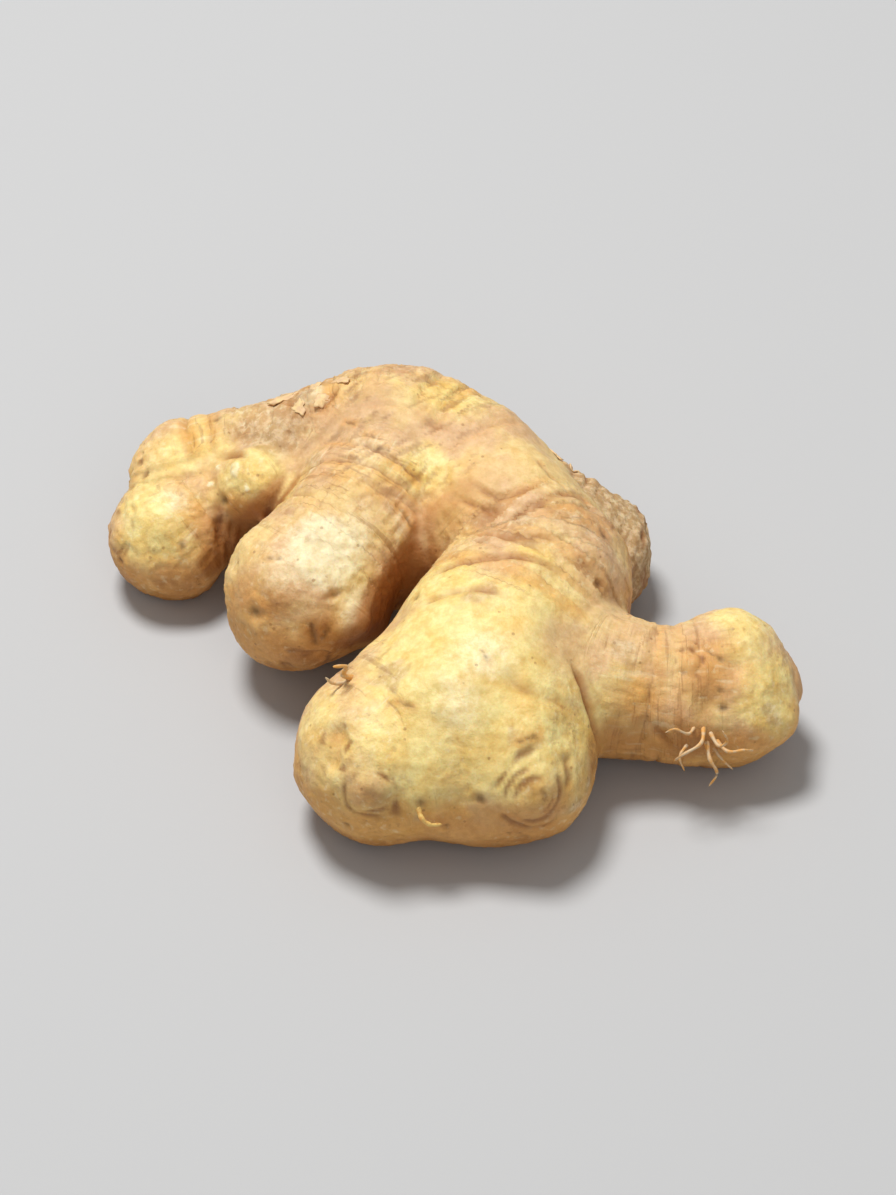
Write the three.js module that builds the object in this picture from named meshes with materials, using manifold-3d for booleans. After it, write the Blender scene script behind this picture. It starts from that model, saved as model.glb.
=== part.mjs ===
// A ginger rhizome: one grown piece of thick, blunt fingers that branch from a bent stem.
// It lies on its side on the plane Z = 0. Millimetres, +Z up; X is its longest way, and the
// tip of the biggest finger points to -Y. The origin is the middle of its footprint.

import * as THREE from "three";
import { MarchingCubes } from "three/addons/objects/MarchingCubes.js";
import { mergeVertices } from "three/addons/utils/BufferGeometryUtils.js";
import Module from "manifold-3d";

// Driving dimensions
const melt = 1.5; // how softly the skin of one finger runs into the next
const facet = 3; // edge of the cells that the skin is faceted with
const span = 135; // edge of the cube of cells, which the whole rhizome fits in
const weldGap = 1e-3; // corners nearer than this are one corner
const leastCrossing = 0.08; // share of a cell's edge that every corner of the skin keeps clear
const stepsPerRing = 4; // straight lengths between two rings of a finger
const floorBlock = { width: 200, depth: 10 }; // the waste below the resting plane
const middleHeight = 18; // height of the middle of the cube of cells

const skinColour = "#d9b277";
const skinRoughness = 0.62;
const skinMetalness = 0;

// Every finger is a row of rings along its middle line, each one [x, y, z, radius].
// The lowest fingers reach about 1 mm below Z = 0, where they are worn flat and carry the weight.
const fingers = {
  stem: [
    [-47.5, 35.5, 15, 9.3],
    [-36.5, 36.5, 17.5, 9.2],
    [-25, 34.5, 20, 11.6],
    [-10.5, 35, 22.5, 13.8],
    [2, 29, 22, 13.2],
    [9.5, 17, 21, 13.8],
  ],
  dryStub: [
    [11.5, 25.5, 17, 11],
    [20.5, 22.5, 13, 11],
    [27, 19.5, 9.6, 10.4],
  ],
  bigFinger: [
    [6, 24.5, 21, 13],
    [11.5, 11, 20.5, 14.5],
    [16.5, 3.5, 19.5, 16],
    [12.5, -4.5, 18.5, 16.8],
    [7.5, -14, 18, 17.2],
    [4, -24.5, 17.5, 15.5],
  ],
  bigFingerLeftLobe: [
    [6, -17, 18, 14.5],
    [-3.5, -26.5, 16.2, 14.8],
    [-11, -33.5, 14, 14.9],
  ],
  bigFingerMiddleLobe: [
    [6, -17, 18, 14.5],
    [2, -32.8, 14.9, 15.2],
  ],
  bigFingerRightLobe: [
    [7, -18.5, 17.5, 14.5],
    [10.5, -27.5, 15.5, 14.4],
    [11, -34.5, 13, 14.1],
  ],
  sideFinger: [
    [23, -16, 15, 12.5],
    [35, -18, 13.5, 12.6],
    [47, -17, 12.3, 13.3],
  ],
  middleFinger: [
    [-9.5, 29.5, 22.5, 13],
    [-18, 12, 21, 12.8],
    [-25, 3, 17.5, 14.1],
  ],
  fork: [
    [-1.5, 28.5, 17, 11],
    [-6.5, 15.5, 15, 10.5],
  ],
  paleBud: [[-15.5, 2.5, 12, 5]],
  endFinger: [
    [-37.5, 30.5, 15, 8.5],
    [-49, 23, 10, 11],
  ],
  smallLobe: [[-33.5, 25.5, 21.5, 6.8]],
};

// The rings of a finger with the smooth rings in between, as { centre, radius }.
function smoothRings(rings) {
  const centres = rings.map(([x, y, z]) => new THREE.Vector3(x, y, z));
  const radii = rings.map((ring) => new THREE.Vector3(ring[3], 0, 0));
  if (rings.length === 1) return [{ centre: centres[0], radius: radii[0].x }];
  const axis = new THREE.CatmullRomCurve3(centres, false, "catmullrom", 0.5);
  const girth = new THREE.CatmullRomCurve3(radii, false, "catmullrom", 0.5);
  const steps = (rings.length - 1) * stepsPerRing;
  return Array.from({ length: steps + 1 }, (_, i) => ({
    centre: axis.getPoint(i / steps),
    radius: girth.getPoint(i / steps).x,
  }));
}

// The straight lengths that make up a finger. A single ring is one length with no extent.
function lengthsOf(rings) {
  const smooth = smoothRings(rings);
  if (smooth.length === 1) return [{ from: smooth[0], to: smooth[0] }];
  return smooth.slice(1).map((to, i) => ({ from: smooth[i], to }));
}

// Distance from a point to the skin of one tapered length; negative inside it.
function distanceToLength(point, { from, to }) {
  const along = to.centre.clone().sub(from.centre);
  const offset = point.clone().sub(from.centre);
  const share = THREE.MathUtils.clamp(offset.dot(along) / (along.lengthSq() || 1), 0, 1);
  const radius = THREE.MathUtils.lerp(from.radius, to.radius, share);
  return offset.addScaledVector(along, -share).length() - radius;
}

const fingerLengths = Object.values(fingers).map(lengthsOf);

// How deep a point lies below the skin of the whole rhizome; negative outside it.
// The fingers' distances are added as exponentials, so that neighbours melt together.
function depthUnderSkin(point) {
  let sum = 0;
  for (const lengths of fingerLengths) {
    const distances = lengths.map((length) => distanceToLength(point, length));
    sum += Math.exp(-Math.min(...distances) / melt);
  }
  return melt * Math.log(sum);
}

// The skin as one closed surface of triangles.
function skinGeometry() {
  const cells = Math.round(span / facet);
  const halfSpan = span / 2;
  const most = 20000;
  const cubes = new MarchingCubes(cells, undefined, false, false, most);
  const place = (i) => ((i - cells / 2) / (cells / 2)) * halfSpan;
  const nearest = leastCrossing * facet;
  const point = new THREE.Vector3();
  for (let k = 0; k < cells; k++) {
    for (let j = 0; j < cells; j++) {
      for (let i = 0; i < cells; i++) {
        point.set(place(i), place(j), place(k) + middleHeight);
        const depth = depthUnderSkin(point);
        const side = depth < 0 ? -1 : 1;
        cubes.field[i + cells * (j + cells * k)] = side * Math.max(Math.abs(depth), nearest);
      }
    }
  }
  cubes.isolation = 0;
  cubes.update();
  const corners = cubes.geometry.getAttribute("position").array.slice(0, cubes.count * 3);
  return new THREE.BufferGeometry()
    .setAttribute("position", new THREE.BufferAttribute(corners, 3))
    .scale(halfSpan, halfSpan, halfSpan)
    .translate(0, 0, middleHeight);
}

const wasm = await Module();
wasm.setup();

// A closed geometry as a solid that can be cut.
function solidOf(geometry) {
  const bare = geometry.clone();
  bare.deleteAttribute("normal");
  bare.deleteAttribute("uv");
  const welded = mergeVertices(bare, weldGap);
  const index = welded.index.array;
  const triVerts = [];
  for (let t = 0; t < index.length; t += 3) {
    const [a, b, c] = index.slice(t, t + 3);
    if (a !== b && b !== c && c !== a) triVerts.push(a, b, c);
  }
  const vertProperties = welded.getAttribute("position").array;
  const mesh = new wasm.Mesh({ numProp: 3, vertProperties, triVerts: new Uint32Array(triVerts) });
  return new wasm.Manifold(mesh);
}

function geometryOf(solid) {
  const { vertProperties, triVerts } = solid.getMesh();
  const geometry = new THREE.BufferGeometry();
  geometry.setAttribute("position", new THREE.BufferAttribute(vertProperties, 3));
  geometry.setIndex(new THREE.BufferAttribute(triVerts, 1));
  geometry.computeVertexNormals();
  return geometry;
}

// The grown shape, with the undersides of the lowest fingers worn flat at Z = 0.
function rhizomeGeometry() {
  const { width, depth } = floorBlock;
  const waste = new THREE.BoxGeometry(width, width, depth).translate(0, 0, -depth / 2);
  const geometry = geometryOf(solidOf(skinGeometry()).subtract(solidOf(waste)));
  geometry.computeBoundingBox();
  const middle = geometry.boundingBox.getCenter(new THREE.Vector3());
  return geometry.translate(-middle.x, -middle.y, 0);
}

const skin = new THREE.MeshStandardMaterial({
  color: skinColour,
  roughness: skinRoughness,
  metalness: skinMetalness,
});

const rhizome = new THREE.Mesh(rhizomeGeometry(), skin);
rhizome.name = "rhizome";

const ginger = new THREE.Group();
ginger.add(rhizome);

export default ginger;
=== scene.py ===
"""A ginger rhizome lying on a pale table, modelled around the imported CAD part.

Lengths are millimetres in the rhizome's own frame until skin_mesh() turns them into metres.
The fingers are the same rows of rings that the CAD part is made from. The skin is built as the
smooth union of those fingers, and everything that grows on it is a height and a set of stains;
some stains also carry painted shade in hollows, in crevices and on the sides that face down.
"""

import math

import bpy
import numpy as np
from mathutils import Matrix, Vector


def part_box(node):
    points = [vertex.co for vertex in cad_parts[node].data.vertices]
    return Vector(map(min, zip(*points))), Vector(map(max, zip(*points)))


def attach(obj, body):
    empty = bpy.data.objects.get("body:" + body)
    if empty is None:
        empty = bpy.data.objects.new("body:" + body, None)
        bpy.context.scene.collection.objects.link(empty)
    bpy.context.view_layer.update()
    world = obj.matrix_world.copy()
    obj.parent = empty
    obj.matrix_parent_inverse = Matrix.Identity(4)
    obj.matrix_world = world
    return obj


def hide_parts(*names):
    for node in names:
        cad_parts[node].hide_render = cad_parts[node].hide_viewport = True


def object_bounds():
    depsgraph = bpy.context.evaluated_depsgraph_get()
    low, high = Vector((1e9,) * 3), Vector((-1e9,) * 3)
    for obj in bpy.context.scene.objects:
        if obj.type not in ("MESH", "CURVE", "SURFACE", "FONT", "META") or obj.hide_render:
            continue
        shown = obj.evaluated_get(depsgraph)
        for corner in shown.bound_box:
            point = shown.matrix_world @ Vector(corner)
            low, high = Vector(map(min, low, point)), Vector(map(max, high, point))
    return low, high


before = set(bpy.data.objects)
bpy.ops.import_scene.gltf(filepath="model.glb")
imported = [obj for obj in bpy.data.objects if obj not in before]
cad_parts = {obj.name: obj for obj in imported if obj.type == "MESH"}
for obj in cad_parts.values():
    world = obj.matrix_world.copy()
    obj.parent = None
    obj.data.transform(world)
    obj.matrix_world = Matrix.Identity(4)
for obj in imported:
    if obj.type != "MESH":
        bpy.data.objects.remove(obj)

import openvdb
from mathutils import Vector

cad_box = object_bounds()

NODE = "rhizome"
BODY = "root"
MM = 0.001

MELT = 1.5  # how softly one finger runs into the next
VOXEL = 0.57  # edge of the skin's faces
MARGIN = 4.0  # empty space round the skin on the grid
FAR = 12.0  # fingers further off than this don't count
NOWHERE = 1e3  # a distance that is out of reach of every mark
STEPS_PER_RING = 4

# Every finger is a row of rings along its middle line, each one (x, y, z, radius).
FINGERS = {
    "stem": [
        (-47.5, 35.5, 15, 9.3),
        (-36.5, 36.5, 17.5, 9.2),
        (-25, 34.5, 20, 11.6),
        (-10.5, 35, 22.5, 13.8),
        (2, 29, 22, 13.2),
        (9.5, 17, 21, 13.8),
    ],
    "dry_stub": [
        (11.5, 25.5, 17, 11),
        (20.5, 22.5, 13, 11),
        (27, 19.5, 9.6, 10.4),
    ],
    "big_finger": [
        (6, 24.5, 21, 13),
        (11.5, 11, 20.5, 14.5),
        (16.5, 3.5, 19.5, 16),
        (12.5, -4.5, 18.5, 16.8),
        (7.5, -14, 18, 17.2),
        (4, -24.5, 17.5, 15.5),
    ],
    "big_finger_left_lobe": [
        (6, -17, 18, 14.5),
        (-3.5, -26.5, 16.2, 14.8),
        (-11, -33.5, 14, 14.9),
    ],
    "big_finger_middle_lobe": [
        (6, -17, 18, 14.5),
        (2, -32.8, 14.9, 15.2),
    ],
    "big_finger_right_lobe": [
        (7, -18.5, 17.5, 14.5),
        (10.5, -27.5, 15.5, 14.4),
        (11, -34.5, 13, 14.1),
    ],
    "side_finger": [
        (23, -16, 15, 12.5),
        (35, -18, 13.5, 12.6),
        (47, -17, 12.3, 13.3),
    ],
    "middle_finger": [
        (-9.5, 29.5, 22.5, 13),
        (-18, 12, 21, 12.8),
        (-25, 3, 17.5, 14.1),
    ],
    "fork": [
        (-1.5, 28.5, 17, 11),
        (-6.5, 15.5, 15, 10.5),
    ],
    "pale_bud": [(-15.5, 2.5, 12, 5)],
    "end_finger": [
        (-37.5, 30.5, 15, 8.5),
        (-49, 23, 10, 11),
    ],
    "small_lobe": [(-33.5, 25.5, 21.5, 6.8)],
}

# Ring scars: finger -> distances along its middle line, in mm.
RINGS = {
    "stem": (1, 4.5, 8, 12.5, 16, 20.5, 24, 28, 33, 37, 42.5, 47, 51, 56),
    "dry_stub": (3, 5.5, 8, 10.5, 13, 15.5, 18),
    "big_finger": (3, 7, 9, 11, 14.5, 17.5, 21.5, 27, 31.5, 37.5, 46),
    "side_finger": (9, 16.5, 23),
    "middle_finger": (9, 12, 15, 19),
    "end_finger": (2, 5, 8, 12),
}


# ---------------------------------------------------------------- numbers in space

GRAIN_SCALE = 1.6  # brings gradient noise to about -1 to 1


class Grain:
    """Smooth random bumps in space: gradient noise with a fixed seed, about -1 to 1."""

    def __init__(self, seed):
        draw = np.random.RandomState(seed)
        self.order = draw.permutation(256)
        slopes = draw.normal(size=(256, 3))
        self.slopes = slopes / np.linalg.norm(slopes, axis=1, keepdims=True)

    def __call__(self, points, size):
        p = points / size
        cell = np.floor(p).astype(np.int64)
        inside = p - cell
        ease = inside**3 * (inside * (inside * 6 - 15) + 10)
        total = np.zeros(len(p))
        for corner in np.ndindex(2, 2, 2):
            at = (cell + corner) & 255
            pick = self.order[(self.order[(self.order[at[:, 0]] + at[:, 1]) & 255] + at[:, 2]) & 255]
            share = np.prod(np.where(np.array(corner) == 1, ease, 1 - ease), axis=1)
            total += share * np.einsum("ij,ij->i", self.slopes[pick], inside - corner)
        return total * GRAIN_SCALE

    def layered(self, points, size, layers=3):
        total = np.zeros(len(points))
        for k in range(layers):
            total += self(points + 31.7 * k, size / 2**k) / 2**k
        return total


def ramp(values, low, high):
    """0 below low, 1 above high, smooth in between; low may be the bigger number."""
    t = np.clip((values - low) / (high - low), 0, 1)
    return t * t * (3 - 2 * t)


def smooth_row(rings, steps=STEPS_PER_RING):
    """The same rings with smooth ones in between (Catmull-Rom)."""
    rings = np.array(rings, float)
    if len(rings) == 1:
        return rings
    padded = np.vstack([2 * rings[0] - rings[1], rings, 2 * rings[-1] - rings[-2]])
    row = []
    for a, b, c, d in zip(padded, padded[1:], padded[2:], padded[3:]):
        for t in np.arange(steps) / steps:
            row.append(0.5 * (2 * b + (c - a) * t + (2 * a - 5 * b + 4 * c - d) * t**2
                              + (3 * b - a - 3 * c + d) * t**3))
    row.append(rings[-1])
    return np.array(row)


def lengths(rings):
    """The straight tapered lengths of a finger, as (from, to) rings."""
    row = smooth_row(rings)
    if len(row) == 1:
        return [(row[0], row[0])]
    return list(zip(row, row[1:]))


LENGTHS = {name: lengths(rings) for name, rings in FINGERS.items()}


def along_length(x, y, z, a, b):
    """Distance to one tapered length, and how far along it the nearest point lies (0 to 1)."""
    dx, dy, dz = b[:3] - a[:3]
    square = dx * dx + dy * dy + dz * dz or 1.0
    ox, oy, oz = x - a[0], y - a[1], z - a[2]
    t = np.clip((ox * dx + oy * dy + oz * dz) / square, 0, 1)
    reach = np.sqrt((ox - t * dx) ** 2 + (oy - t * dy) ** 2 + (oz - t * dz) ** 2)
    return reach - (a[3] + t * (b[3] - a[3])), t


def skin_distance(points):
    """Distance from each point to the rhizome's smooth skin; negative inside."""
    x, y, z = points.T
    total = np.zeros(len(points))
    for parts in LENGTHS.values():
        near = np.min([along_length(x, y, z, a, b)[0] for a, b in parts], axis=0)
        total += np.exp(-np.clip(near, -30, 60) / MELT)
    return -MELT * np.log(total)


def skin_normal(points, step=0.3):
    """The outward direction of the smooth skin at each point."""
    slope = np.zeros_like(points)
    for k in range(3):
        shift = np.zeros(3)
        shift[k] = step
        slope[:, k] = skin_distance(points + shift) - skin_distance(points - shift)
    return slope / np.linalg.norm(slope, axis=1, keepdims=True)


def on_skin(points):
    """The points moved on to the smooth skin."""
    points = np.array(points, float).reshape(-1, 3)
    for _ in range(4):
        points = points - skin_distance(points)[:, None] * skin_normal(points)
    return points


# ---------------------------------------------------------------- the smooth skin


def skin_grid():
    """The distance to the skin at every point of a grid: (lowest corner, values)."""
    rings = np.array([ring for row in FINGERS.values() for ring in row])
    low = (rings[:, :3] - rings[:, 3:]).min(0) - MARGIN
    high = (rings[:, :3] + rings[:, 3:]).max(0) + MARGIN
    axes = [np.arange(low[k], high[k], VOXEL) for k in range(3)]
    shape = tuple(len(axis) for axis in axes)
    total = np.zeros(shape, np.float32)
    for parts in LENGTHS.values():
        near = np.full(shape, FAR, np.float32)
        for a, b in parts:
            reach = max(a[3], b[3]) + FAR
            ends = np.array([a[:3], b[:3]])
            window = tuple(
                slice(*np.searchsorted(axes[k], (ends[:, k].min() - reach, ends[:, k].max() + reach)))
                for k in range(3)
            )
            place = np.meshgrid(*(axes[k][window[k]] for k in range(3)), indexing="ij", sparse=True)
            distance, _ = along_length(*place, a, b)
            near[window] = np.minimum(near[window], distance)
        total += np.exp(-near / MELT)
    distance = -MELT * np.log(total)
    return low, np.maximum(distance, -axes[2][None, None, :])


def smooth_skin():
    """The skin as points and four-sided faces, worn flat at z = 0."""
    low, values = skin_grid()
    grid = openvdb.FloatGrid(background=float(MARGIN))
    grid.copyFromArray(np.clip(values, -MARGIN, MARGIN).astype(np.float32))
    points, quads = grid.convertToQuads(isovalue=0.0)
    points = points.astype(float) * VOXEL + low
    a, b, c = (points[quads[:, k]] for k in range(3))
    if np.einsum("ij,ij->", np.cross(b - a, c - a), a) < 0:
        quads = quads[:, ::-1]
    return points, quads


def mesh_object(name, points, faces):
    mesh = bpy.data.meshes.new(name)
    mesh.from_pydata(points.tolist(), [], faces)
    mesh.update()
    made = bpy.data.objects.new(name, mesh)
    bpy.context.scene.collection.objects.link(made)
    return made


# ---------------------------------------------------------------- what grows on the skin


class Skin:
    """Everything that is added to the smooth skin: a height and the strengths of the stains.

    The stain "own" isn't a colour: it is strong where a point clearly belongs to one finger.
    """

    STAINS = ("yellow", "pink", "pale", "dry", "warm", "brown", "line", "dark", "own")

    def __init__(self, points, normals):
        self.points = points
        self.normals = normals
        self.height = np.zeros(len(points))
        self.stains = {name: np.zeros(len(points)) for name in self.STAINS}
        self.grain = Grain(7)
        self.fine = Grain(11)

    def stain(self, name, strength):
        kept = self.stains[name]
        self.stains[name] = np.maximum(kept, np.clip(strength, 0, 1))

    def near(self, centre, radius):
        """Which points lie within a radius, and their distances measured along the skin."""
        offset = self.points - centre
        out = skin_normal(np.array([centre]))[0]
        deep = offset @ out
        reach = np.linalg.norm(offset - deep[:, None] * out, axis=1)
        reach[np.linalg.norm(offset, axis=1) > 1.6 * radius + 1] = NOWHERE
        return reach

    def settle(self, points):
        """The points moved on to the finished skin."""
        base = on_skin(points)
        nearest = [np.argmin(((self.points - p) ** 2).sum(axis=1)) for p in base]
        return base + self.height[nearest][:, None] * skin_normal(base)

    def stroke_distance(self, points):
        """Distance of every point to a line drawn through points on the skin."""
        row = smooth_row([tuple(p) + (0,) for p in points], steps=6)[:, :3]
        row = on_skin(row)
        best = np.full(len(self.points), NOWHERE)
        for a, b in zip(row, row[1:]):
            along = b - a
            offset = self.points - a
            t = np.clip(offset @ along / (along @ along + 1e-9), 0, 1)
            best = np.minimum(best, np.linalg.norm(offset - t[:, None] * along, axis=1))
        return best


def finger_places(skin):
    """For every finger: its share of each point, the distance along it and the offset from its axis."""
    x, y, z = skin.points.T
    found = {}
    total = np.zeros(len(skin.points))
    for name, parts in LENGTHS.items():
        best = np.full(len(x), NOWHERE)
        along = np.zeros(len(x))
        axis = np.zeros((len(x), 3))
        foot = np.zeros((len(x), 3))
        start = 0.0
        for a, b in parts:
            distance, t = along_length(x, y, z, a, b)
            step = np.linalg.norm(b[:3] - a[:3])
            closer = distance < best
            best = np.where(closer, distance, best)
            along = np.where(closer, start + t * step, along)
            axis[closer] = (b[:3] - a[:3]) / (step or 1)
            foot[closer] = (a[:3] + t[:, None] * (b[:3] - a[:3]))[closer]
            start += step
        share = np.exp(-np.clip(best, -30, 60) / MELT)
        total += share
        found[name] = [share, along, skin.points - foot, axis]
    for place in found.values():
        place[0] = place[0] / total
    return found


def add_lumps(skin):
    """The unevenness that every rhizome has, from thumb-sized swellings to fine pimples."""
    skin.height += 1.0 * skin.grain(skin.points, 17) + 0.55 * skin.grain(skin.points + 50, 8)
    skin.height += 0.16 * skin.fine.layered(skin.points, 3.2, 3)
    for centre, radius, rise in SWELLINGS:
        reach = np.linalg.norm(skin.points - centre, axis=1)
        skin.height += rise * np.exp(-((reach / (0.6 * radius)) ** 2))


def add_ring_scars(skin, places):
    """The scars of the scale leaves: each finger is a row of low swellings with thin lines between."""
    draw = np.random.RandomState(5)
    wander = 1.1 * skin.grain(skin.points + 90, 12) + 0.45 * skin.grain(skin.points + 70, 4)
    for name, rings in RINGS.items():
        share, along, _, _ = places[name]
        rings = np.array(rings, float)
        tilt = draw.normal(0, 0.06, (len(rings), 3))
        strength = draw.uniform(0.45, 1.0, len(rings))
        here = ramp(share, 0.3, 0.9)
        for k, at in enumerate(rings):
            x = along + wander - at + (skin.points - (0, 0, 18)) @ tilt[k]
            broken = ramp(skin.grain(skin.points + 13 * k, 10), -0.5, 0.3) * strength[k]
            groove = np.exp(-np.abs(x / 0.55) ** 1.5)
            hollow = np.exp(-np.abs(x) / 2.2)
            lip = np.exp(-(((x + 0.9) / 0.5) ** 2))
            relief = 0.32 * lip * broken - 0.42 * groove * broken - 0.60 * hollow * strength[k]
            skin.height += here * relief
            skin.stain("line", 0.95 * here * broken * np.exp(-np.abs((x - 0.1) / 0.42) ** 1.5))
            skin.stain("warm", 0.7 * here * strength[k] * np.exp(-(((x - 0.8) / 1.4) ** 2)))


DRAWN_ALONG = 8  # how much longer than wide the streaks along a finger are
DRAWN_ROUND = 9  # the same for the streaks round it
FINGER_GAP = 40  # keeps the streaks of different fingers apart
HUMP = (-10, 28, 34)
# Wrinkles over the hump are long one way (first row) and fine the other two ways.
GRAIN_OF_HUMP = np.array([(0.12, 0.09, 0), (-0.6, 0.8, 0), (0, 0, 1)])


def add_growth(skin, places):
    """Wrinkles, and where each point lies in its finger.

    One stored place, flow, is drawn out along the finger, and the other, hoop, round it.
    """
    wander = 0.8 * skin.grain(skin.points + 90, 12)
    weight = np.zeros(len(skin.points))
    flow = np.zeros((len(skin.points), 3))
    hoop = np.zeros((len(skin.points), 3))
    for k, (share, along, offset, axis) in enumerate(places.values()):
        part = (share**4)[:, None]
        apart = FINGER_GAP * k
        flow += part * (offset + axis * (along / DRAWN_ALONG)[:, None] + apart)
        hoop += part * (offset / DRAWN_ROUND + axis * (along + wander)[:, None] + apart)
        weight += share**4
    skin.flow = flow / weight[:, None]
    skin.hoop = hoop / weight[:, None]
    own = ramp(np.max([place[0] for place in places.values()], axis=0), 0.5, 0.9)
    skin.stain("own", own)
    wrinkle = 0.5 - np.abs(skin.fine.layered(skin.flow, 2.4, 2))
    fold = 0.5 - np.abs(skin.fine.layered(skin.hoop, 2.2, 2))
    strong = 0.24 + 0.34 * ramp(skin.grain(skin.points + 7, 14) + 0.02 * skin.points[:, 1], -0.2, 0.6)
    across = skin.points @ GRAIN_OF_HUMP.T
    hump = ramp(np.linalg.norm(skin.points - HUMP, axis=1), 30, 12)
    crossing = 0.5 - np.abs(skin.fine.layered(across, 1.9, 3))
    skin.height += 0.42 * hump * crossing * ramp(skin.grain(skin.points + 77, 9), -0.5, 0.4)
    skin.stain("line", 0.55 * hump * ramp(-crossing + 0.3 * skin.grain(skin.points, 6), -0.28, 0.15))
    folded = ramp(skin.grain(skin.points + 7, 12), -0.3, 0.5)
    skin.height += own * strong * wrinkle + 0.30 * own * fold * folded


# ---------------------------------------------------------------- marks in their places

# Swellings and hollows of the fingers: centre, radius, rise.
SWELLINGS = [
    ((-3.5, 18.5, 33), 8, 1.2),
    ((-12, 36, 37), 10, 0.7),
    ((-3, -33, 32), 11, 1.2),
    ((15, -38, 28), 8, 1.3),
    ((-16, -38, 25), 8, 0.7),
    ((50, -13, 24), 9, 1.7),
    ((57, -24, 13), 8, 1.9),
    ((43, -29, 15), 7, 1.2),
    ((37, -8, 20), 8, -1.3),
    ((34, -28, 15), 8, -1.4),
    ((49, -22, 24), 4, -0.9),
    ((44, -27, 20), 5, -0.9),
    ((-26, -9, 21), 5, -0.6),
    ((-15, -7, 20), 6, 1.8),
    ((-31, -6, 22), 4, -0.6),
    ((-27, -4, 29), 8, 0.6),
    ((-50, 18, 20), 7, 0.6),
    ((-56, 26, 12), 5, 0.5),
    ((25, -1, 32), 9, 0.6),
    ((2, -3, 33), 7, 0.5),
    ((-48, 40, 20), 7, 0.7),
    ((-36, 44, 16), 6, 0.8),
    ((-20, 48, 22), 8, 0.8),
    ((2, 42, 24), 8, 0.7),
    ((24, 10, 22), 7, -0.8),
]

# Bud scars: middle (a short line where drawn out), radius, how far the middle stands up, number of rings.
EYES = [
    ([(-18.5, -40, 25.5), (-19, -42.5, 22)], 2.4, -1.3, 1),
    ([(-13, -47, 19.5)], 4.8, 0.9, 2),
    ([(14.5, -47, 18.5)], 6.8, 1.2, 4),
    ([(41, -22, 25)], 2.1, 0.35, 1),
    ([(60, -16, 13)], 5.0, 0.9, 2),
    ([(-58, 30, 20)], 3.0, 0.6, 1),
    ([(-56, 20, 14)], 3.6, 0.5, 2),
    ([(-24, -9, 12)], 4.6, 0.8, 2),
    ([(-6, 49, 24)], 5.0, 1.0, 3),
    ([(-30, 45, 18)], 3.8, 0.8, 2),
    ([(35, 20, 10)], 7.5, -1.2, 2),
    ([(14, 3, 2)], 4.5, 0.8, 2),
]

# Creases: points along the line, width, depth, brown stain.
CREASES = [
    ([(20.5, -24, 28), (23, -28, 24), (25, -31, 19), (25.5, -32, 13)], 0.9, 0.75, 0.75),
    ([(9, -29, 32), (12, -33, 30), (16, -33.5, 28), (22, -33, 23.5)], 1.2, 0.45, 0.35),
    ([(-1.5, -37.5, 30), (0.5, -42, 27), (2, -47, 21), (3, -49, 14)], 2.6, 1.0, 0.15),
    ([(-34, 24.5, 28.5), (-38, 27.5, 26.5), (-42, 30, 24)], 0.7, 0.6, 0.6),
    ([(-40, 22, 22), (-40, 19, 17), (-39.5, 17, 11.5)], 0.9, 0.7, 0.8),
    ([(-38, 21, 19), (-38, 18, 14), (-38, 17, 9)], 0.7, 0.5, 0.7),
    ([(-29.5, 38.5, 30), (-27.5, 35, 31.5), (-25.5, 32.5, 32)], 0.5, 0.5, 0.6),
    ([(-25.5, 32.5, 32), (-22.5, 32, 33), (-20, 35, 34), (-18, 38, 34)], 0.5, 0.5, 0.6),
    ([(-20, 35, 34.5), (-14.5, 39, 35), (-9.5, 38.5, 36), (-4, 38, 35.5)], 0.45, 0.22, 0.35),
    ([(-17.5, 30.5, 35), (-8, 29.5, 36.5), (-3.5, 26.5, 35.5), (3, 23, 35.5)], 0.45, 0.2, 0.3),
    ([(34, -30, 18), (36.5, -30.5, 15), (39, -30.5, 11)], 0.8, 0.6, 0.6),
    ([(31.5, -23, 25.5), (35.5, -22.5, 25)], 0.6, 0.3, 0.4),
    ([(3, 4, 31), (6, 1, 33), (10, -1, 35), (15, -2, 35.5), (21, -2.5, 34)], 0.6, 0.35, 0.5),
    ([(-3.5, -8, 30), (1, -7, 33.5), (7, -6.5, 35.3), (13, -7, 35.3), (20, -9, 33)], 0.6, 0.5, 0.6),
    ([(-5, -16, 30.5), (-1, -15, 33), (5, -15, 35), (11, -16, 34.8)], 0.6, 0.45, 0.5),
    ([(4, 13, 33.5), (8, 9, 34.5), (12, 9, 35), (18, 12, 34)], 0.6, 0.4, 0.6),
    ([(1, 12, 31), (5, 8, 32.5), (9, 5, 34)], 0.6, 0.35, 0.6),
    ([(14, 20, 34), (18, 15, 34), (22, 12, 32)], 0.5, 0.25, 0.4),
    ([(-22.5, -8.5, 25), (-19.5, -7, 26), (-16, -5, 25)], 0.6, 0.5, 0.5),
]

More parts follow.
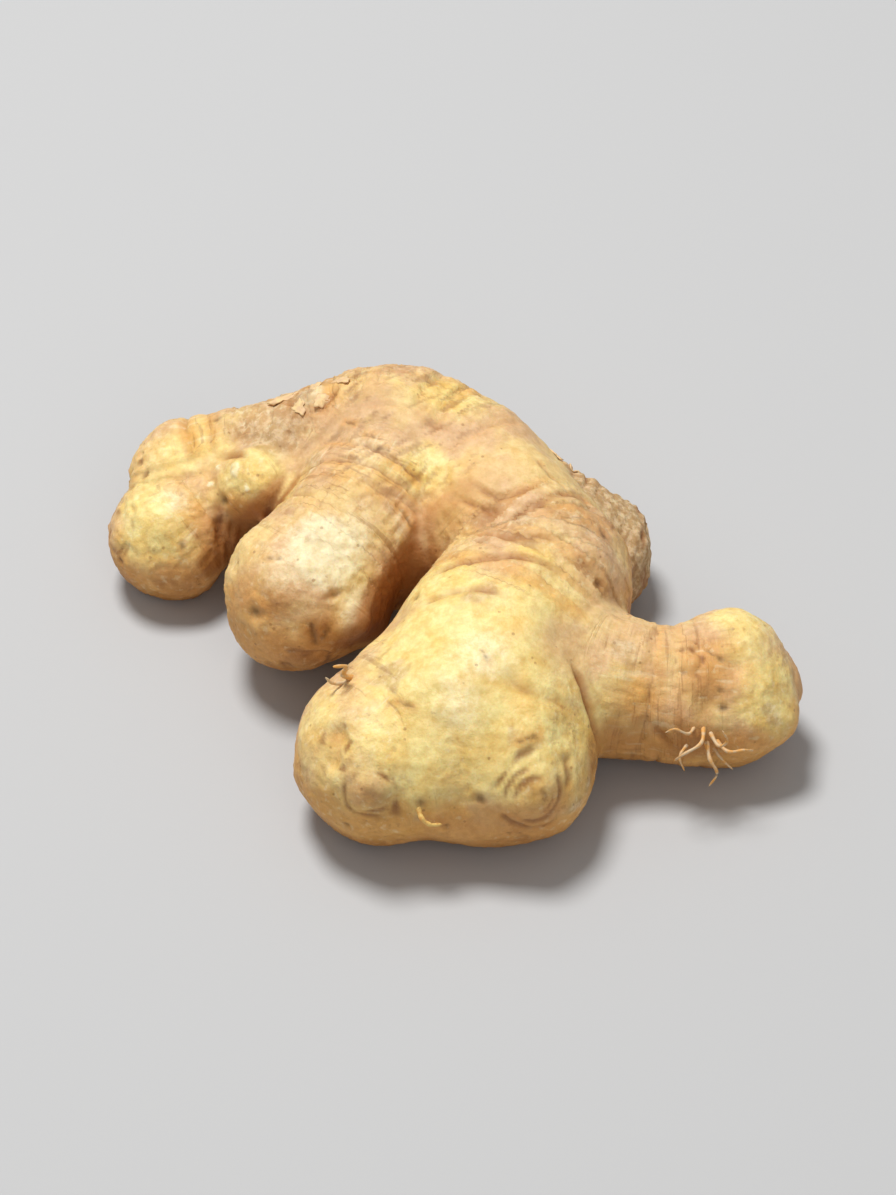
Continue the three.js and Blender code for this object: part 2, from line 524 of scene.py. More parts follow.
# Small cracks and dashes: points along the line, width, depth.
CRACKS = [
    ([(-18.0, 27.8, 34.5), (-16.6, 27.2, 35)], 0.3, 0.2),
    ([(-14, 24, 35), (-12.8, 23.4, 35)], 0.3, 0.2),
    ([(-12.2, 20.8, 34.5), (-10.4, 20.3, 34.5)], 0.35, 0.25),
    ([(-17, 19.4, 34.5), (-16, 18.9, 34.4)], 0.3, 0.2),
    ([(-9, 10.5, 30.5), (-7.4, 9.6, 29.5), (-6.5, 8.5, 27.5)], 0.35, 0.35),
    ([(6, -28, 33), (6.7, -29.6, 32.6)], 0.3, 0.2),
    ([(44.5, -20, 26), (47, -21.2, 25)], 0.35, 0.3),
    ([(-23.4, -10, 21.8), (-22.7, -10.8, 18.2)], 0.5, 0.3),
    ([(-20.6, -10, 20.8), (-21.2, -10.8, 19.2)], 0.4, 0.25),
    ([(-31, -1, 28.5), (-28.5, -2, 29.5)], 0.25, 0.15),
    ([(-8, -36, 29.5), (-5.5, -37, 29)], 0.25, 0.12),
    ([(12, -41.5, 26), (15.5, -40.3, 26)], 0.25, 0.12),
]

# Pits where roots have dropped off: centre, radius, depth.
PITS = [
    ((26, -7.5, 29), 1.0, 0.7),
    ((32.5, -9.5, 24), 0.9, 0.7),
    ((-5.5, -12, 30.5), 0.9, 0.6),
    ((27.5, 3, 31), 1.3, 0.4),
    ((-41, 37.5, 26), 1.1, 0.5),
    ((-57, 33.5, 15), 1.0, 0.5),
    ((-39.5, 21, 21.5), 1.2, 0.6),
    ((-33.5, -7.5, 22), 1.7, 0.8),
    ((-46.5, 14.5, 16.5), 0.9, 0.4),
    ((-57.5, 16.5, 11.5), 0.9, 0.4),
    ((5.5, -48, 18.5), 1.2, 0.7),
    ((47, -28, 19.5), 0.9, 0.5),
    ((46.5, -26, 22), 0.7, 0.3),
]

# Small pale pimples: centre, radius, height.
PIMPLES = [
    ((-40.8, 26.8, 24.5), 0.9, 0.5),
    ((-37.5, 23.5, 27), 1.6, 0.7),
    ((-41.5, 24.5, 22), 0.8, 0.4),
    ((-35, 20.5, 25), 0.9, 0.4),
    ((-32.5, 18.5, 19.5), 1.6, 1.2),
    ((-40, 20, 19), 1.1, 0.6),
    ((-24, 36, 33), 3.2, 1.0),
]

# Patches of colour: stain, centre, radius, strength.
PATCHES = [
    ("yellow", (2, -33, 30), 30, 1.0),
    ("yellow", (0, -44, 24), 14, 1.0),
    ("pale", (2, -37, 30), 10, 0.55),
    ("yellow", (-4, 18, 32), 7, 1.0),
    ("yellow", (-33.5, 22, 26), 8, 0.9),
    ("yellow", (-50, 20, 18), 12, 0.7),
    ("yellow", (56, -24, 17), 9, 1.0),
    ("yellow", (50, -12, 25), 8, 0.9),
    ("yellow", (51, -18, 25), 6, 0.8),
    ("pale", (54, -13, 22), 6, 0.4),
    ("yellow", (-6, -8, 32), 14, 0.7),
    ("yellow", (0, 34, 36), 9, 0.6),
    ("yellow", (-45, 32, 24), 8, 0.5),
    ("yellow", (-16, -6, 20), 6, 0.8),
    ("yellow", (16, -3, 35), 9, 0.5),
    ("pale", (-22, 0, 31), 11, 1.0),
    ("pale", (-27, -3, 28), 9, 0.6),
    ("pale", (-15, -6.5, 20.5), 7, 1.0),
    ("pale", (6, -28, 33), 9, 0.6),
    ("pale", (-48, 22, 20), 6, 0.6),
    ("pale", (-14, 20, 34), 8, 0.5),
    ("warm", (-13, -48, 16), 8, 0.6),
    ("warm", (16, -47, 15), 8, 0.7),
    ("warm", (-20, -38, 20), 6, 0.5),
    ("brown", (3, 11, 32), 5, 0.45),
    ("brown", (-2, 8, 27), 6, 0.4),
    ("brown", (-20, 12, 31), 5, 0.3),
    ("pink", (31, -14, 27), 13, 0.8),
    ("pink", (20, -22, 31), 10, 0.8),
    ("pink", (28, -2, 28), 9, 0.6),
    ("pink", (8, 12, 34), 9, 0.7),
    ("pink", (-2, 6, 26), 8, 0.6),
    ("brown", (42, -30, 15), 8, 0.8),
    ("brown", (30, -30, 15), 8, 0.5),
    ("brown", (-30, -8, 25), 6, 0.45),
    ("brown", (14.5, -48, 14), 9, 0.35),
    ("brown", (-22, -10.5, 20), 5, 0.6),
    ("brown", (-35, -3, 22), 6, 0.45),
    ("brown", (-38, 19, 17), 6, 0.5),
    ("brown", (44, -25, 21), 6, 0.5),
    ("warm", (44, -22, 23), 9, 0.8),
    ("warm", (33, -26, 20), 8, 0.8),
    ("warm", (2, 10, 30), 10, 0.6),
    ("warm", (-24, 36, 32), 9, 0.7),
    ("warm", (-32, -6, 24), 8, 0.8),
]


def add_eyes(skin):
    """Bud scars: a low dome or dimple with uneven, broken rings in it."""
    for k, (middle, radius, rise, rings) in enumerate(EYES):
        if len(middle) == 1:
            reach = skin.near(on_skin(middle)[0], radius)
        else:
            reach = skin.stroke_distance(middle)
        reach = reach * (1 + 0.35 * skin.grain(skin.points + 17 * k, 1.3 * radius))
        reach = reach + 0.25 * skin.fine(skin.points + 5 * k, 2.8)
        inside = ramp(reach, 1.1 * radius, 0.2 * radius)
        skin.height += rise * inside
        for ring in range(rings):
            at = radius * (1 - 0.24 * ring)
            broken = ramp(skin.grain(skin.points + 29 * k + 11 * ring, 0.8 * radius), -0.35, 0.4)
            groove = np.exp(-np.abs((reach - at) / 0.65) ** 1.7)
            skin.height -= 0.30 * groove * (0.2 + 0.8 * broken)
            skin.height += 0.16 * broken * np.exp(-(((reach - at - 0.8) / 0.5) ** 2))
            skin.stain("line", 0.9 * groove * broken)
        skin.stain("warm", 0.45 * inside)


def add_lines(skin):
    """Creases between swellings, and small dark cracks."""
    for points, width, depth, brown in CREASES:
        reach = skin.stroke_distance(points)
        reach = reach + 0.35 * skin.grain(skin.points, 3.5) * ramp(reach, 3, 0)
        ends = [np.linalg.norm(skin.points - points[k], axis=1) for k in (0, -1)]
        fade = ramp(np.minimum(*ends), 0, 4)
        depth, brown = depth * fade, brown * (0.3 + 0.7 * fade)
        skin.height -= depth * np.exp(-((reach / width) ** 2))
        skin.height += 0.35 * depth * np.exp(-(((reach - 1.8 * width) / width) ** 2))
        skin.stain("brown", brown * np.exp(-((reach / (width + 0.5)) ** 2)))
        skin.stain("line", brown * np.exp(-((reach / (0.55 * width)) ** 2)))
    for points, width, depth in CRACKS:
        reach = skin.stroke_distance(points) + 0.35 * skin.fine(skin.points, 1.1)
        skin.height -= depth * np.exp(-((reach / width) ** 2))
        skin.stain("dark", 0.55 * np.exp(-((reach / width) ** 2)))
        skin.stain("warm", 0.7 * np.exp(-((reach / (width + 1)) ** 2)))


def add_pits(skin):
    """Pits and pimples in their places, and more of them scattered round the hidden sides."""
    draw = np.random.RandomState(23)
    pits = [(on_skin(centre)[0], radius, depth) for centre, radius, depth in PITS]
    for pick in draw.choice(len(skin.points), 46, replace=False):
        if skin.normals[pick][2] < 0.25:
            pits.append((skin.points[pick], draw.uniform(0.5, 1.0), draw.uniform(0.25, 0.5)))
    for centre, radius, depth in pits:
        reach = skin.near(centre, radius) * (1 + 0.3 * skin.fine(skin.points, 1.3))
        skin.height -= 0.7 * depth * np.exp(-((reach / (0.75 * radius)) ** 2))
        skin.height += 0.35 * depth * np.exp(-(((reach - 1.5 * radius) / (0.5 * radius)) ** 2))
        skin.stain("dark", 0.55 * ramp(reach, 1.0 * radius, 0.1 * radius))
        skin.stain("brown", 0.35 * ramp(reach, 2.4 * radius, 0.6 * radius))
    for centre, radius, height in PIMPLES:
        reach = skin.near(on_skin(centre)[0], radius)
        reach = reach * (1 + 0.5 * skin.fine(skin.points, 1.6 * radius))
        skin.height += height * ramp(reach, radius, 0)
        skin.stain("pale", 0.7 * ramp(reach, radius, 0.5 * radius))
        skin.stain("brown", 0.35 * np.exp(-(((reach - 1.25 * radius) / 0.5) ** 2)))


def add_patches(skin, places):
    """Where the skin is young and yellow, peeled and pale, pinkish, brown or dry, and painted shade in
    hollows, crevices and on the sides that face down.
    """
    for stain, centre, radius, strength in PATCHES:
        reach = np.linalg.norm(skin.points - centre, axis=1)
        reach = reach * (1 + 0.35 * skin.grain(skin.points + 41, 0.9 * radius))
        skin.stain(stain, strength * ramp(reach, 1.2 * radius, 0.1 * radius))
    uneven = skin.grain.layered(skin.points + 200, 9, 3)
    # Painted shade: the wide hollows are painted brown and the tight crevices get dark lines, where shade
    # falls.
    hollow = 1 - skin_distance(skin.points + 6 * skin.normals) / 6
    crevice_shade = 1 - skin_distance(skin.points + 2 * skin.normals) / 2
    skin.stain("brown", 0.9 * ramp(hollow + 0.12 * uneven, 0.25, 0.85))
    skin.stain("line", 0.8 * ramp(crevice_shade + 0.1 * uneven, 0.35, 0.9))
    # Painted shade: the sides that face down are painted orange.
    skin.stain("warm", 0.9 * ramp(skin.normals[:, 2] + 0.25 * uneven, 0.62, -0.1))
    # Painted shade: the low sides near the floor that face down are painted brown.
    low = ramp(skin.points[:, 2] + 3 * uneven, 13, 2) * ramp(skin.normals[:, 2], 0.3, -0.5)
    skin.stain("brown", 0.75 * low)
    stub = places["dry_stub"][0] * ramp(places["dry_stub"][1] + 2 * uneven, 3, 8)
    skin.stain("dry", stub)
    top_left = ramp(np.linalg.norm(skin.points - (-30, 36, 28), axis=1) + 4 * uneven, 13, 6)
    skin.stain("dry", 0.55 * top_left)
    skin.stain("dry", 0.5 * ramp(uneven, 0.35, 0.8))
    ridges = 0.5 - np.abs(skin.fine.layered(skin.points, 1.9, 3))
    skin.height += skin.stains["dry"] * 0.24 * ridges


# ---------------------------------------------------------------- the rhizome's mesh


def add_bake_map(made):
    """A map for baked colours, laid out while the skin is smooth: its islands are few and large."""
    made.data.uv_layers.new(name="OFBake")
    made.select_set(True)
    bpy.context.view_layer.objects.active = made
    bpy.ops.object.mode_set(mode="EDIT")
    bpy.ops.mesh.select_all(action="SELECT")
    bpy.ops.uv.smart_project(angle_limit=1.15, island_margin=0.003, scale_to_bounds=True)
    bpy.ops.object.mode_set(mode="OBJECT")
    made.select_set(False)


def skin_mesh(skin, quads):
    """The displaced skin as a Blender mesh in metres, with a stain in each vertex attribute."""
    points = skin.points + skin.height[:, None] * skin.normals
    worn = ramp(skin.points[:, 2], 0.0, 1.2)
    points[:, 2] = np.where(skin.points[:, 2] < 0.05, 0, points[:, 2])
    points = skin.points * (1 - worn[:, None]) + points * worn[:, None]
    points[:, 2] = np.maximum(points[:, 2], 0)
    shift = node_shift(skin.points)
    made = mesh_object("ginger_rhizome", skin.points * MM + shift, quads.tolist())
    add_bake_map(made)
    made.data.vertices.foreach_set("co", (points * MM + shift).astype(np.float32).ravel())
    made.data.update()
    for name, strength in skin.stains.items():
        attribute = made.data.attributes.new(name, "FLOAT", "POINT")
        attribute.data.foreach_set("value", strength.astype(np.float32))
    for name, place in (("flow", skin.flow), ("hoop", skin.hoop)):
        attribute = made.data.attributes.new(name, "FLOAT_VECTOR", "POINT")
        attribute.data.foreach_set("vector", place.astype(np.float32).ravel())
    made.data.shade_smooth()
    return made


# Thin roots: points from the skin outwards, thickness at the skin and at the end.
ROOTLETS = [
    ([(43.5, -29, 17), (43, -32.5, 16.5), (40, -34.2, 15.5), (38.5, -33.5, 13.2)], 0.42, 0.15),
    ([(42, -29, 17), (40.8, -31.2, 17.5), (38.5, -31.5, 19), (37, -31.5, 18.2)], 0.34, 0.12),
    ([(44.5, -29, 16), (46, -32, 15.5), (47.4, -32.8, 17.5), (46.6, -32.5, 19.5)], 0.4, 0.15),
    ([(45.5, -29, 14.5), (47.5, -31.5, 14), (50.3, -31.8, 14.6), (52, -30.6, 13.2)], 0.4, 0.14),
    ([(44, -29, 14.5), (44.5, -32.5, 13.5), (45.8, -33.5, 11), (44.6, -34, 8.5)], 0.45, 0.15),
    ([(45, -29, 13), (46.8, -31, 11.5), (48.5, -31.2, 9.5)], 0.32, 0.12),
    ([(41, -29.5, 14), (39.5, -32, 13.2), (40.3, -33, 11)], 0.34, 0.12),
    ([(-15.5, -28, 26), (-17, -29.5, 28.5), (-16.5, -30, 31), (-18.5, -31, 32)], 0.6, 0.25),
    ([(-16.2, -28.5, 26), (-18.8, -30, 27.2), (-20, -30.5, 29)], 0.42, 0.18),
    ([(10, 42, 12), (12, 45, 10), (14.5, 46, 10.5), (15.5, 46.5, 12)], 0.45, 0.15),
    ([(-42, 45, 12), (-43.5, 47.5, 10), (-43, 49, 8)], 0.4, 0.15),
    ([(-20, 44, 8), (-21, 47, 6), (-19.5, 49, 5)], 0.35, 0.12),
]
SPROUT = [([(-5, -46, 16.5), (-4.4, -47.6, 15.2), (-3, -47.9, 14), (-1.2, -47.5, 13.6)], 0.55, 0.25)]
STRAND_SIDES = 8


def strand(skin, path, thick, thin):
    """A tapered curved strand as points and faces, closed at both ends and rooted in the skin."""
    row = smooth_row([tuple(p) + (0,) for p in path], steps=6)[:, :3]
    foot = skin.settle(row[0])
    row = row + foot[0] - row[0] - 0.6 * skin_normal(foot)[0]
    ahead = np.gradient(row, axis=0)
    ahead /= np.linalg.norm(ahead, axis=1, keepdims=True)
    side = np.cross(ahead, (0.2, 0.3, 1.0))
    side /= np.linalg.norm(side, axis=1, keepdims=True)
    other = np.cross(ahead, side)
    share = np.linspace(0, 1, len(row))[:, None, None]
    radius = (thick + (thin - thick) * share) * (1 + 0.15 * np.sin(23 * share))
    turn = np.linspace(0, 2 * np.pi, STRAND_SIDES, endpoint=False)[None, :, None]
    ring = row[:, None] + radius * (np.cos(turn) * side[:, None] + np.sin(turn) * other[:, None])
    points = np.vstack([ring.reshape(-1, 3), row[0] - 0.3 * ahead[0], row[-1] + 0.3 * ahead[-1]])
    last = len(row) * STRAND_SIDES
    faces = []
    for k in range(len(row) - 1):
        for j in range(STRAND_SIDES):
            a, b = k * STRAND_SIDES + j, k * STRAND_SIDES + (j + 1) % STRAND_SIDES
            faces.append([a, b, b + STRAND_SIDES, a + STRAND_SIDES])
    for j in range(STRAND_SIDES):
        faces.append([(j + 1) % STRAND_SIDES, j, last])
        faces.append([last - STRAND_SIDES + j, last - STRAND_SIDES + (j + 1) % STRAND_SIDES, last + 1])
    return points, faces


# Papery flakes of old scale leaves: middle, half length, half width, turn, lift of the loose end.
FLAKES = [
    ((-29, 38.5, 30), 2.6, 1.4, 0.4, 0.55),
    ((-26, 33.5, 32), 1.9, 1.1, 2.2, 0.4),
    ((-22, 34, 33.5), 1.7, 1.0, 1.0, 0.4),
    ((-19, 38.5, 35), 2.2, 1.1, 2.6, 0.5),
    ((-23.5, 38.5, 33), 1.9, 1.1, 5.0, 0.4),
    ((18, 31, 21), 2.0, 1.2, 1.2, 0.5),
    ((22, 29.5, 19.5), 1.7, 1.1, 0.2, 0.5),
    ((-12, 47, 20), 1.8, 1.1, 2.4, 0.4),
]
FLAKE_SIDES = 26
FLAKE_RINGS = (0.4, 0.75, 1)  # rings of points from the middle of a flake to its edge
FLAKE_HALF_THICK = 0.11


def flake(skin, middle, long, wide, turn, lift):
    """A thin closed plate with a ragged edge, which follows the skin and stands up at one end."""
    foot = on_skin(middle)
    out = skin_normal(foot)[0]
    side = np.cross(out, (0, 1, 0.3))
    side /= np.linalg.norm(side)
    u = np.cos(turn) * side + np.sin(turn) * np.cross(out, side)
    v = np.cross(out, u)
    angle = np.linspace(0, 2 * np.pi, FLAKE_SIDES, endpoint=False)
    ragged = 1 + 0.16 * np.sin(3 * angle + turn) + 0.12 * np.sin(7 * angle + 2 * turn)
    ragged = ragged + 0.06 * np.sin(12 * angle)
    spokes = [(0, 0)]
    for share in FLAKE_RINGS:
        spokes += [(share * r * np.cos(a), share * r * np.sin(a)) for a, r in zip(angle, ragged)]
    spokes = np.array(spokes)
    base = skin.settle(foot + spokes[:, :1] * long * u + spokes[:, 1:] * wide * v)
    normals = skin_normal(base)
    height = (lift * ramp(spokes[:, 0], -0.6, 1.1) - 0.05)[:, None]
    upper = base + (height + FLAKE_HALF_THICK) * normals
    lower = base + (height - FLAKE_HALF_THICK) * normals
    points = np.vstack([upper, lower])
    count = len(spokes)
    top = []
    for j in range(FLAKE_SIDES):
        k = (j + 1) % FLAKE_SIDES
        top.append([0, 1 + j, 1 + k])
        for ring in (0, 1):
            start = 1 + ring * FLAKE_SIDES
            top.append([start + j, start + FLAKE_SIDES + j, start + FLAKE_SIDES + k, start + k])
    faces = top + [[corner + count for corner in reversed(face)] for face in top]
    edge = count - FLAKE_SIDES
    for j in range(FLAKE_SIDES):
        k = (j + 1) % FLAKE_SIDES
        faces.append([edge + k, edge + j, edge + j + count, edge + k + count])
    return points, faces


def joined(name, shapes, shift):
    """Many small shapes as one mesh, in metres."""
    points, faces = [], []
    start = 0
    for more, sides in shapes:
        points.append(more)
        faces += [[corner + start for corner in face] for face in sides]
        start += len(more)
    made = mesh_object(name, np.vstack(points) * MM + shift, faces)
    made.data.shade_smooth()
    return made


def node_shift(points):
    """What moves the rhizome's own millimetres, as metres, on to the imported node."""
    low, high = (np.array(corner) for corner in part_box(NODE))
    middle = (points.max(0) + points.min(0)) / 2 * MM
    return np.array([*((low + high) / 2 - middle)[:2], low[2]])


# ---------------------------------------------------------------- materials


def rgb(red, green, blue):
    """A colour given as 0-255 screen values, as Blender's linear ones."""
    linear = [v / 12.92 if v <= 0.04045 else ((v + 0.055) / 1.055) ** 2.4
              for v in (red / 255, green / 255, blue / 255)]
    return (*linear, 1)


BUFF = rgb(234, 200, 144)
YELLOW = rgb(248, 230, 156)
DEEP_YELLOW = rgb(242, 208, 122)
PINKISH = rgb(222, 184, 140)
CREAM = rgb(250, 240, 200)
# Also the orange of painted shade on the sides that face down.
WARM = rgb(222, 160, 78)
DRY_BUFF = rgb(186, 154, 114)
DRY_PALE = rgb(212, 186, 148)
# Brown of the real stains, and also of painted shade in hollows and on the low sides.
STAIN_AND_SHADE_BROWN = rgb(176, 114, 54)
LINE_BROWN = rgb(148, 96, 52)
PIT_BROWN = rgb(72, 44, 24)
SHADE_LOW = (0.84, 0.76, 0.62, 1)
SHADE_HIGH = (1.05, 1.06, 1.08, 1)


class Nodes:
    """A short way to write a material's nodes."""

    def __init__(self, name):
        self.material = bpy.data.materials.new(name)
        self.material.use_nodes = True
        self.tree = self.material.node_tree
        self.shader = self.tree.nodes["Principled BSDF"]
        self.place = self.add("ShaderNodeTexCoord").outputs["Object"]

    def add(self, kind, **settings):
        made = self.tree.nodes.new(kind)
        for key, value in settings.items():
            setattr(made, key, value)
        return made

    def join(self, source, socket):
        self.tree.links.new(source, socket)

    def attribute(self, name, kind="Fac"):
        return self.add("ShaderNodeAttribute", attribute_name=name).outputs[kind]

    def streaks(self, name, size_mm, detail=3.0):
        """Noise in a place that is stored on the skin, in mm."""
        made = self.add("ShaderNodeTexNoise")
        made.inputs["Scale"].default_value = 1 / size_mm
        made.inputs["Detail"].default_value = detail
        self.join(self.attribute(name, "Vector"), made.inputs["Vector"])
        return made.outputs["Fac"]

    def noise(self, size_mm, detail=3.0, rough=0.55, warp=0.0):
        made = self.add("ShaderNodeTexNoise")
        made.inputs["Scale"].default_value = 1 / (size_mm * MM)
        made.inputs["Detail"].default_value = detail
        made.inputs["Roughness"].default_value = rough
        made.inputs["Distortion"].default_value = warp
        self.join(self.place, made.inputs["Vector"])
        return made.outputs["Fac"]

    def spots(self, size_mm):
        made = self.add("ShaderNodeTexVoronoi")
        made.inputs["Scale"].default_value = 1 / (size_mm * MM)
        self.join(self.place, made.inputs["Vector"])
        return made.outputs["Distance"]

    def span(self, value, low, high, to_low=0.0, to_high=1.0):
        made = self.add("ShaderNodeMapRange", interpolation_type="SMOOTHSTEP")
        self.join(value, made.inputs["Value"])
        for name, number in (("From Min", low), ("From Max", high), ("To Min", to_low), ("To Max", to_high)):
            made.inputs[name].default_value = number
        return made.outputs["Result"]

    def maths(self, operation, a, b):
        made = self.add("ShaderNodeMath", operation=operation)
        for socket, value in zip(made.inputs, (a, b)):
            if isinstance(value, (int, float)):
                socket.default_value = value
            else:
                self.join(value, socket)
        return made.outputs[0]

    def mix(self, share, a, b, blend="MIX"):
        made = self.add("ShaderNodeMix", data_type="RGBA", blend_type=blend)
        for socket, value in zip((made.inputs[0], made.inputs[6], made.inputs[7]), (share, a, b)):
            if isinstance(value, (int, float, tuple)):
                socket.default_value = value
            else:
                self.join(value, socket)
        return made.outputs[2]


def skin_material():
    """Ginger skin: buff, yellow where young, with mottling, streaks, ring lines, dry flakes and brown
    stains, and painted shade: brown in hollows and on the low sides, orange on the sides that face down.
    """
    n = Nodes("ginger_skin")
    broad = n.noise(13, 3)
    patchy = n.noise(4.5, 4, 0.6, 0.3)
    mottle = n.noise(1.5, 5, 0.65, 0.2)
    fleck = n.noise(0.45, 3, 0.6)
    own = n.attribute("own")
    along = n.maths("MULTIPLY", n.maths("SUBTRACT", n.streaks("flow", 1.3, 4), 0.5), own)
    round_about = n.maths("MULTIPLY", n.maths("SUBTRACT", n.streaks("hoop", 1.1, 4), 0.5), own)

    def shaken(name, amount=0.5):
        """A stain's strength, made uneven by the mottling."""
        uneven = n.maths("ADD", n.maths("MULTIPLY", patchy, 0.6), n.maths("MULTIPLY", mottle, 0.4))
        uneven = n.maths("MULTIPLY", n.maths("SUBTRACT", uneven, 0.5), 2 * amount)
        strength = n.attribute(name)
        return n.maths("ADD", strength, n.maths("MULTIPLY", uneven, n.span(strength, 0.02, 0.3)))

    def lay(colour, share, amount, over):
        return n.mix(n.maths("MULTIPLY", share, amount), colour, over)

    colour = n.mix(n.span(broad, 0.38, 0.62), BUFF, PINKISH)
    young = n.maths("ADD", shaken("yellow"), n.span(broad, 0.62, 0.40, -0.05, 0.35))
    yellows = n.mix(n.span(patchy, 0.35, 0.7), YELLOW, DEEP_YELLOW)
    colour = lay(colour, n.span(young, 0.0, 0.9), 0.9, yellows)
    colour = lay(colour, n.span(shaken("pink"), 0.1, 0.9), 0.6, PINKISH)
    # Warm stain: real warm marks, and painted shade on the sides that face down.
    colour = lay(colour, n.span(shaken("warm", 0.4), 0.0, 1.0), 0.8, WARM)
    colour = lay(colour, n.span(shaken("pale"), 0.2, 0.9), 0.85, CREAM)
    dry = n.span(shaken("dry"), 0.15, 0.8)
    colour = lay(colour, dry, 0.9, n.mix(n.span(mottle, 0.42, 0.6), DRY_BUFF, DRY_PALE))
    colour = lay(colour, n.span(round_about, 0.05, 0.18), 0.42, LINE_BROWN)
    colour = lay(colour, n.span(along, 0.08, 0.22), 0.25, LINE_BROWN)
    colour = lay(colour, n.span(along, -0.06, -0.20), 0.30, CREAM)
    # Brown stain: real stains, and painted shade in hollows and on the low sides.
    colour = lay(colour, n.span(shaken("brown", 0.4), 0.0, 0.95), 0.85, STAIN_AND_SHADE_BROWN)
    # Line stain: real ring, wrinkle and crease lines, and painted shade in tight crevices.
    colour = lay(colour, n.span(shaken("line", 0.6), 0.1, 1.0), 0.8, LINE_BROWN)
    specks = n.maths("MULTIPLY", n.span(n.spots(2.3), 0.17, 0.08), n.span(patchy, 0.46, 0.58))
    colour = lay(colour, specks, 0.5, LINE_BROWN)
    colour = n.mix(n.attribute("dark"), colour, PIT_BROWN)
    shade = n.maths("MULTIPLY", n.span(mottle, 0.25, 0.75), n.span(fleck, 0.3, 0.7, 0.85, 1.0))
    colour = n.mix(1.0, colour, n.mix(shade, SHADE_LOW, SHADE_HIGH), "MULTIPLY")
    n.join(colour, n.shader.inputs["Base Color"])

    rough = n.span(n.attribute("yellow"), 0.0, 1.0, 0.60, 0.45)
    rough = n.maths("ADD", rough, n.maths("MULTIPLY", n.maths("SUBTRACT", mottle, 0.5), 0.3))
    rough = n.maths("ADD", rough, n.maths("MULTIPLY", n.attribute("dry"), 0.25))
    n.join(n.maths("MINIMUM", rough, 1.0), n.shader.inputs["Roughness"])

    relief = n.maths("ADD", n.maths("MULTIPLY", mottle, 0.5), n.maths("MULTIPLY", fleck, 0.2))
    relief = n.maths("ADD", relief, n.maths("MULTIPLY", along, 0.5))
    relief = n.maths("SUBTRACT", relief, n.maths("MULTIPLY", round_about, 0.6))
    bump = n.add("ShaderNodeBump")
    bump.inputs["Strength"].default_value = 0.75
    bump.inputs["Distance"].default_value = 0.45 * MM
    n.join(relief, bump.inputs["Height"])
    n.join(bump.outputs["Normal"], n.shader.inputs["Normal"])
    n.shader.inputs["Subsurface Weight"].default_value = 0.18
    n.shader.inputs["Subsurface Radius"].default_value = (1.0, 0.5, 0.18)
    n.shader.inputs["Subsurface Scale"].default_value = 2 * MM
    n.shader.inputs["Specular IOR Level"].default_value = 0.4
    return n.material


def strand_material(name, pale, tan):
    """A thin dry root, a sprout or a flake: two colours in soft patches."""
    n = Nodes(name)
    n.join(n.mix(n.span(n.noise(1.2, 3), 0.35, 0.65), pale, tan), n.shader.inputs["Base Color"])
    n.shader.inputs["Roughness"].default_value = 0.6
    return n.material


def plain_material(name, colour, roughness):
    n = Nodes(name)
    n.shader.inputs["Base Color"].default_value = colour
    n.shader.inputs["Roughness"].default_value = roughness
    return n.material


# ---------------------------------------------------------------- floor, light and camera

FLOOR_SIDE = 4.0
FLOOR_GREY = rgb(188, 188, 188)
VIEW_ELEVATION = math.radians(45)
VIEW_DISTANCE = 0.90
LENS = 156
SENSOR = 36
# Lamps: name, place, diameter, watts.
LAMPS = [
    ("soft_key", (-0.26, 0.26, 1.24), 0.42, 16),
    ("front_fill", (0.3, -1.1, 0.9), 1.0, 2.2),
]
SKY_STRENGTH = 0.33


def add_floor():
    bpy.ops.mesh.primitive_plane_add(size=FLOOR_SIDE, location=(0, 0, cad_box[0][2]))
    floor = bpy.context.object
    floor.name = "floor"
    floor.data.materials.append(plain_material("floor_grey", FLOOR_GREY, 0.9))


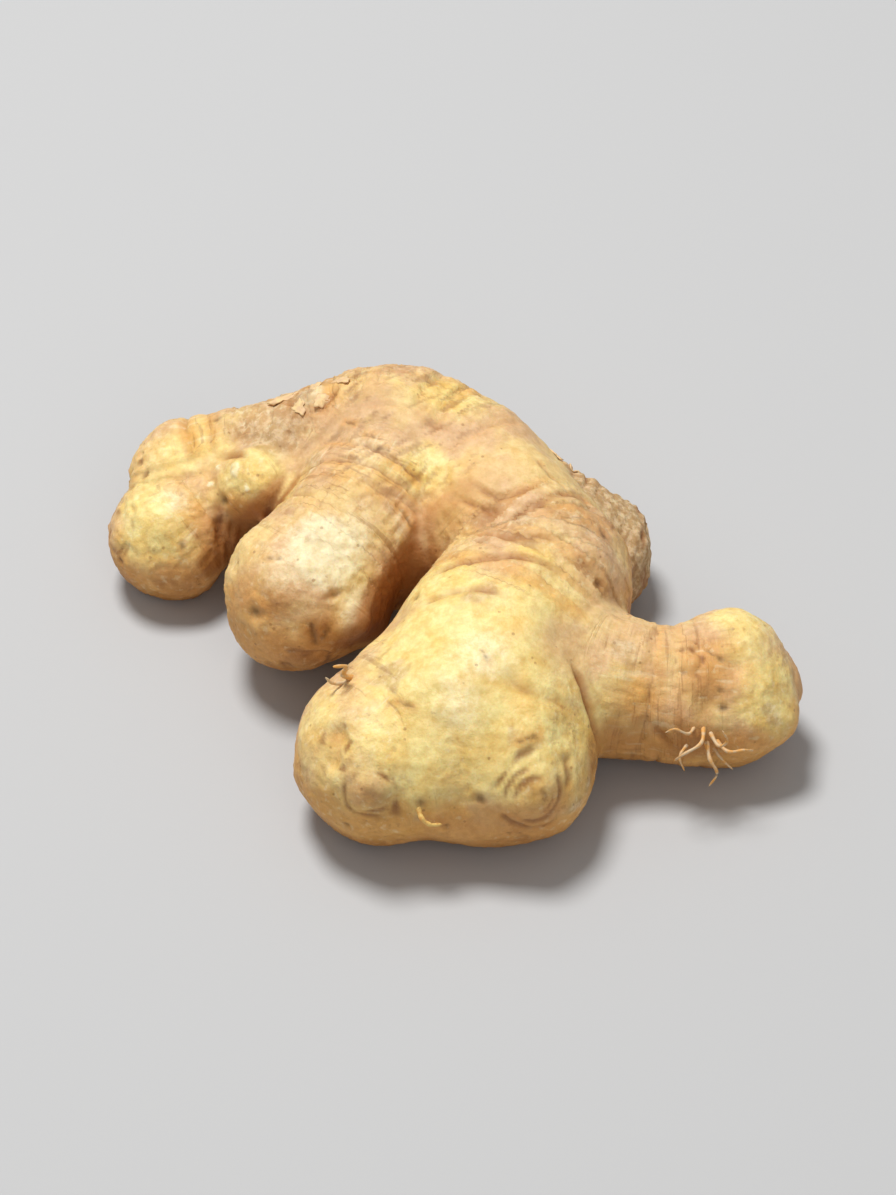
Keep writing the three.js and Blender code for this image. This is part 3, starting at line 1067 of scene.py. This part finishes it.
def add_lamp(name, place, size, watts, target):
    lamp = bpy.data.lights.new(name, "AREA")
    lamp.shape = "DISK"
    lamp.size = size
    lamp.energy = watts
    made = bpy.data.objects.new(name, lamp)
    made.location = place
    made.rotation_euler = (target - Vector(place)).to_track_quat("-Z", "Y").to_euler()
    bpy.context.scene.collection.objects.link(made)


def add_light(target):
    for lamp in LAMPS:
        add_lamp(*lamp, target)
    world = bpy.data.worlds.new("soft_sky")
    world.use_nodes = True
    world.node_tree.nodes["Background"].inputs["Color"].default_value = (1, 1, 1, 1)
    world.node_tree.nodes["Background"].inputs["Strength"].default_value = SKY_STRENGTH
    bpy.context.scene.world = world


def add_camera(target):
    camera = bpy.data.cameras.new("camera")
    camera.lens = LENS
    camera.sensor_width = SENSOR
    made = bpy.data.objects.new("camera", camera)
    back = Vector((0, -math.cos(VIEW_ELEVATION), math.sin(VIEW_ELEVATION)))
    made.location = target + back * VIEW_DISTANCE
    made.rotation_euler = back.to_track_quat("Z", "Y").to_euler()
    bpy.context.scene.collection.objects.link(made)
    bpy.context.scene.camera = made


def main():
    points, quads = smooth_skin()
    skin = Skin(points, skin_normal(points))
    places = finger_places(skin)
    add_lumps(skin)
    add_growth(skin, places)
    add_ring_scars(skin, places)
    add_patches(skin, places)
    add_eyes(skin)
    add_lines(skin)
    add_pits(skin)
    rhizome = skin_mesh(skin, quads)
    rhizome.data.materials.append(skin_material())
    shift = node_shift(skin.points)
    rootlets = joined("rootlets", [strand(skin, *row) for row in ROOTLETS], shift)
    rootlets.data.materials.append(strand_material("rootlet_skin", DRY_PALE, WARM))
    sprout = joined("sprout", [strand(skin, *row) for row in SPROUT], shift)
    sprout.data.materials.append(strand_material("sprout_skin", DEEP_YELLOW, WARM))
    flakes = joined("scale_flakes", [flake(skin, *row) for row in FLAKES], shift)
    flakes.data.materials.append(strand_material("flake_skin", BUFF, PINKISH))
    for piece in (rhizome, rootlets, sprout, flakes):
        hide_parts(NODE)
        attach(piece, BODY)

    low, high = cad_box
    target = Vector([(a + b) / 2 for a, b in zip(low, high)])
    add_floor()
    add_light(target)
    add_camera(target)
    bpy.context.scene.view_settings.view_transform = "Standard"


main()
